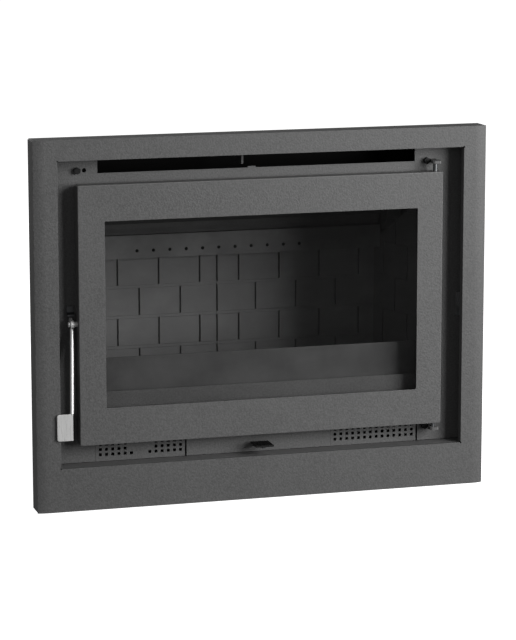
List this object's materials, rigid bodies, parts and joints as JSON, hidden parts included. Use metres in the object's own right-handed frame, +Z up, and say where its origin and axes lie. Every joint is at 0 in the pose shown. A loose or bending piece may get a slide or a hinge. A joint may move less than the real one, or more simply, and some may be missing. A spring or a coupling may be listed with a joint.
{
  "type": "fireplace insert",
  "caption": "Built-in wood-burning fireplace insert: grey folded trim frame, side-hinged glazed door with lever handle, air grilles and brick-pattern firebox.",
  "frame": {"origin": "centre of the footprint on the plane the feet and the frame's lower edge stand on", "axes": "+X to the viewer's right, +Y into the wall, +Z up; the door faces -Y"},
  "size_m": [0.78, 0.3506, 0.618],
  "materials": {
    "body_paint": "matte grey textured powder coat",
    "door_paint": "matte grey textured powder coat",
    "inner_steel": "matte heat-resistant black",
    "galvanised": "spangled zinc-coated sheet",
    "lining": "moulded refractory board with brick joints",
    "cast_iron": "rough casting",
    "stainless": "bright brushed stainless",
    "black_steel": "black oxide",
    "zinc": "zinc-plated",
    "rope": "woven glass-fibre rope and tape",
    "glass": "clear ceramic glass"
  },
  "bodies": {
    "insert": {"air_beam": "inner_steel", "air_box": "galvanised", "ash_pan": "galvanised", "back_lining_left": "lining", "back_lining_right": "lining", "baffle": "lining", "baffle_support_left": "inner_steel", "baffle_support_right": "inner_steel", "casing": "inner_steel", "facade_bolt": "black_steel", "facade_plate": "body_paint", "facade_sill": "body_paint", "flue_collar": "inner_steel", "foot_front_left": "zinc", "foot_front_right": "zinc", "foot_rear_left": "zinc", "foot_rear_right": "zinc", "frame_clip_left": "galvanised", "frame_clip_right": "galvanised", "grate": "cast_iron", "grille_left": "body_paint", "grille_right": "body_paint", "hearth_floor": "lining", "hinge_bolt_lower": "black_steel", "hinge_bolt_upper": "black_steel", "hinge_bracket_lower": "body_paint", "hinge_bracket_upper": "body_paint", "hinge_pin_lower": "zinc", "hinge_pin_upper": "zinc", "latch_keeper": "zinc", "log_guard": "inner_steel", "outlet_rib": "body_paint", "shell_back": "inner_steel", "shell_ceiling": "inner_steel", "shell_floor": "inner_steel", "shell_left": "inner_steel", "shell_right": "inner_steel", "side_lining_front_left": "lining", "side_lining_front_right": "lining", "side_lining_rear_left": "lining", "side_lining_rear_right": "lining", "trim_frame": "body_paint"},
    "door": {"door_panel": "door_paint", "glass_tape": "rope", "door_glass": "glass", "glass_retainer": "galvanised", "door_back_frame": "inner_steel", "door_rope_seal": "rope", "door_hinge_block_upper": "zinc", "door_hinge_block_lower": "zinc", "handle_bearing": "zinc"},
    "handle": {"handle_shaft": "stainless", "latch_nose": "stainless", "handle_rod": "stainless", "handle_grip": "stainless"},
    "air_control": {"air_tab": "black_steel", "air_rod": "zinc", "damper_plate": "galvanised"}
  },
  "joints": [
    {"name": "door_hinge", "type": "hinge", "parent": "insert", "child": "door", "pos_m": [0.3045, -0.15365, 0.3247], "axis": [0, 0, 1], "range_deg": [0, 110]},
    {"name": "handle_pivot", "type": "hinge", "parent": "door", "child": "handle", "pos_m": [-0.3243, -0.14715, 0.3105], "axis": [-1, 0, 0], "range_deg": [0, 30]},
    {"name": "air_slide", "type": "slide", "parent": "insert", "child": "air_control", "axis": [0, -1, 0], "range_m": [0, 0.025]}
  ]
}
